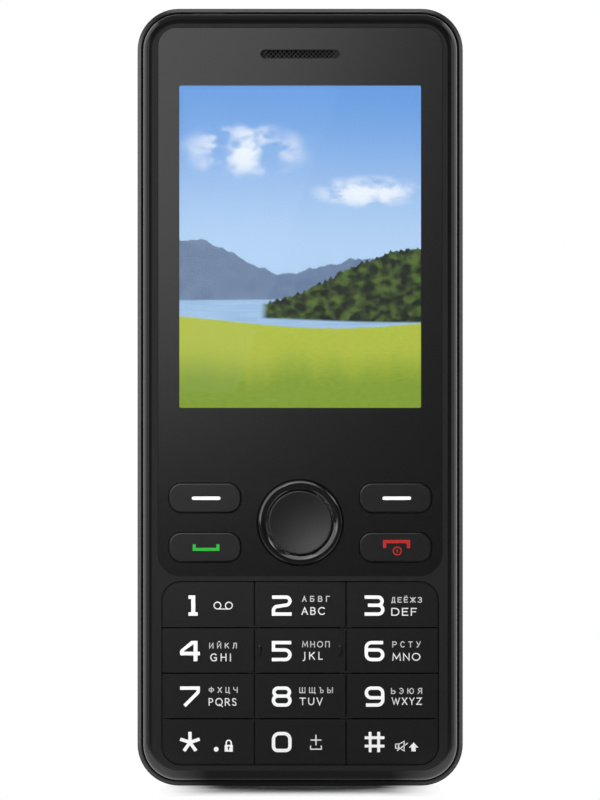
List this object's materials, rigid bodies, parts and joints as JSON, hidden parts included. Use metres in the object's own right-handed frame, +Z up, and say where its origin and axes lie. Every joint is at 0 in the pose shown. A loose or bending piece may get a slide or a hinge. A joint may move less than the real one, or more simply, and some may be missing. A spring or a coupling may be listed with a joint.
{
  "type": "feature phone",
  "caption": "Flat bar-shaped keypad phone with a colour display, soft keys, round navigation ring with OK key, number keys, removable rear cover and lift-out battery.",
  "frame": {"origin": "middle of the bounding box at the phone's lower end, where it stands", "axes": "+Z up the phone's length, front with display and keys towards -Y, +X to the right seen from the front"},
  "size_m": [0.0582, 0.0136, 0.139],
  "materials": {
    "housing_plastic": "fine satin black",
    "panel_plastic": "hard satin black lens",
    "key_plastic": "satin black key tops",
    "ring_plastic": "polished black",
    "cover_plastic": "fine grained black",
    "clear_pane": "clear hard-coated pane",
    "cell_glass": "display cell",
    "lens_glass": "camera cover glass",
    "flash_lens": "frosted lens",
    "guide_acrylic": "clear light guide",
    "sheet_steel": "tinned sheet",
    "screw_steel": "plated screw",
    "mesh_steel": "blackened mesh",
    "foam": "closed-cell foam",
    "silicone": "translucent silicone",
    "dome_film": "film with steel domes",
    "board_laminate": "solder mask over laminate",
    "flex_film": "polyimide film",
    "part_plastic": "black moulded component",
    "cell_foil": "foil-wrapped cell",
    "contact_metal": "gold-plated contact",
    "rocker_plastic": "natural nylon"
  },
  "bodies": {
    "phone": {"front_housing": "housing_plastic", "front_panel": "panel_plastic", "panel_tape": "foam", "display_window": "clear_pane", "earpiece_mesh": "mesh_steel", "earpiece": "part_plastic", "earpiece_gasket": "foam", "display_gasket": "foam", "lcd_glass": "cell_glass", "lcd_tray": "sheet_steel", "light_guide": "guide_acrylic", "lcd_flex": "flex_film", "keypad_mat": "silicone", "dome_sheet": "dome_film", "main_board": "board_laminate", "shield_cans": "sheet_steel", "sim_sockets": "sheet_steel", "card_socket": "sheet_steel", "battery_plug": "part_plastic", "usb_socket": "sheet_steel", "headphone_jack": "part_plastic", "microphone": "sheet_steel", "loudspeaker": "part_plastic", "speaker_gasket": "foam", "motor_can": "sheet_steel", "camera_module": "part_plastic", "flash_lamp": "flash_lens", "antenna": "flex_film", "rear_housing": "housing_plastic", "housing_screws": "screw_steel"},
    "key_1": {"key_1": "key_plastic"},
    "key_2": {"key_2": "key_plastic"},
    "key_3": {"key_3": "key_plastic"},
    "key_4": {"key_4": "key_plastic"},
    "key_5": {"key_5": "key_plastic"},
    "key_6": {"key_6": "key_plastic"},
    "key_7": {"key_7": "key_plastic"},
    "key_8": {"key_8": "key_plastic"},
    "key_9": {"key_9": "key_plastic"},
    "key_star": {"key_star": "key_plastic"},
    "key_0": {"key_0": "key_plastic"},
    "key_hash": {"key_hash": "key_plastic"},
    "soft_key_left": {"soft_key_left": "key_plastic"},
    "soft_key_right": {"soft_key_right": "key_plastic"},
    "call_key": {"call_key": "key_plastic"},
    "end_key": {"end_key": "key_plastic"},
    "ok_key": {"ok_key": "key_plastic"},
    "nav_rocker": {"nav_rocker": "rocker_plastic"},
    "nav_ring": {"nav_ring": "ring_plastic"},
    "motor_weight": {"motor_weight": "screw_steel"},
    "battery": {"battery_cell": "cell_foil", "battery_cap": "part_plastic", "battery_terminals": "contact_metal"},
    "rear_cover": {"rear_cover": "cover_plastic", "camera_window": "lens_glass", "flash_window": "flash_lens", "speaker_mesh": "mesh_steel"}
  },
  "joints": [
    {"name": "key_1_press", "type": "slide", "parent": "phone", "child": "key_1", "axis": [0, 1, 0], "range_m": [0, 0.0003], "stiffness_N_per_m": 4000, "deforming": ["keypad_mat"]},
    {"name": "key_2_press", "type": "slide", "parent": "phone", "child": "key_2", "axis": [0, 1, 0], "range_m": [0, 0.0003], "stiffness_N_per_m": 4000, "deforming": ["keypad_mat"]},
    {"name": "key_3_press", "type": "slide", "parent": "phone", "child": "key_3", "axis": [0, 1, 0], "range_m": [0, 0.0003], "stiffness_N_per_m": 4000, "deforming": ["keypad_mat"]},
    {"name": "key_4_press", "type": "slide", "parent": "phone", "child": "key_4", "axis": [0, 1, 0], "range_m": [0, 0.0003], "stiffness_N_per_m": 4000, "deforming": ["keypad_mat"]},
    {"name": "key_5_press", "type": "slide", "parent": "phone", "child": "key_5", "axis": [0, 1, 0], "range_m": [0, 0.0003], "stiffness_N_per_m": 4000, "deforming": ["keypad_mat"]},
    {"name": "key_6_press", "type": "slide", "parent": "phone", "child": "key_6", "axis": [0, 1, 0], "range_m": [0, 0.0003], "stiffness_N_per_m": 4000, "deforming": ["keypad_mat"]},
    {"name": "key_7_press", "type": "slide", "parent": "phone", "child": "key_7", "axis": [0, 1, 0], "range_m": [0, 0.0003], "stiffness_N_per_m": 4000, "deforming": ["keypad_mat"]},
    {"name": "key_8_press", "type": "slide", "parent": "phone", "child": "key_8", "axis": [0, 1, 0], "range_m": [0, 0.0003], "stiffness_N_per_m": 4000, "deforming": ["keypad_mat"]},
    {"name": "key_9_press", "type": "slide", "parent": "phone", "child": "key_9", "axis": [0, 1, 0], "range_m": [0, 0.0003], "stiffness_N_per_m": 4000, "deforming": ["keypad_mat"]},
    {"name": "key_star_press", "type": "slide", "parent": "phone", "child": "key_star", "axis": [0, 1, 0], "range_m": [0, 0.0003], "stiffness_N_per_m": 4000, "deforming": ["keypad_mat"]},
    {"name": "key_0_press", "type": "slide", "parent": "phone", "child": "key_0", "axis": [0, 1, 0], "range_m": [0, 0.0003], "stiffness_N_per_m": 4000, "deforming": ["keypad_mat"]},
    {"name": "key_hash_press", "type": "slide", "parent": "phone", "child": "key_hash", "axis": [0, 1, 0], "range_m": [0, 0.0003], "stiffness_N_per_m": 4000, "deforming": ["keypad_mat"]},
    {"name": "soft_key_left_press", "type": "slide", "parent": "phone", "child": "soft_key_left", "axis": [0, 1, 0], "range_m": [0, 0.0003], "stiffness_N_per_m": 4000, "deforming": ["keypad_mat"]},
    {"name": "soft_key_right_press", "type": "slide", "parent": "phone", "child": "soft_key_right", "axis": [0, 1, 0], "range_m": [0, 0.0003], "stiffness_N_per_m": 4000, "deforming": ["keypad_mat"]},
    {"name": "call_key_press", "type": "slide", "parent": "phone", "child": "call_key", "axis": [0, 1, 0], "range_m": [0, 0.0003], "stiffness_N_per_m": 4000, "deforming": ["keypad_mat"]},
    {"name": "end_key_press", "type": "slide", "parent": "phone", "child": "end_key", "axis": [0, 1, 0], "range_m": [0, 0.0003], "stiffness_N_per_m": 4000, "deforming": ["keypad_mat"]},
    {"name": "ok_key_press", "type": "slide", "parent": "phone", "child": "ok_key", "axis": [0, 1, 0], "range_m": [0, 0.0003], "stiffness_N_per_m": 4000, "deforming": ["keypad_mat"]},
    {"name": "nav_up_down", "type": "hinge", "parent": "phone", "child": "nav_rocker", "pos_m": [0, -0.00272, 0.04707], "axis": [1, 0, 0], "range_deg": [-1.6, 1.6], "stiffness_Nm_per_rad": 0.35, "deforming": ["keypad_mat"]},
    {"name": "nav_left_right", "type": "hinge", "parent": "nav_rocker", "child": "nav_ring", "pos_m": [0, -0.00272, 0.04707], "axis": [0, 0, 1], "range_deg": [-1.6, 1.6], "stiffness_Nm_per_rad": 0.35, "deforming": ["keypad_mat"]},
    {"name": "motor_spin", "type": "hinge", "parent": "phone", "child": "motor_weight", "pos_m": [0.0165, 0.00232, 0.1136], "axis": [0, 0, 1], "continuous": true},
    {"name": "rear_cover_off", "type": "slide", "parent": "phone", "child": "rear_cover", "axis": [0, 1, 0], "range_m": [0, 0.016]},
    {"name": "battery_out", "type": "slide", "parent": "phone", "child": "battery", "axis": [0, 1, 0], "range_m": [0, 0.008]}
  ],
  "couplings": [
    {"joint": "battery_out", "follows": "rear_cover_off", "ratio": 0.5}
  ]
}
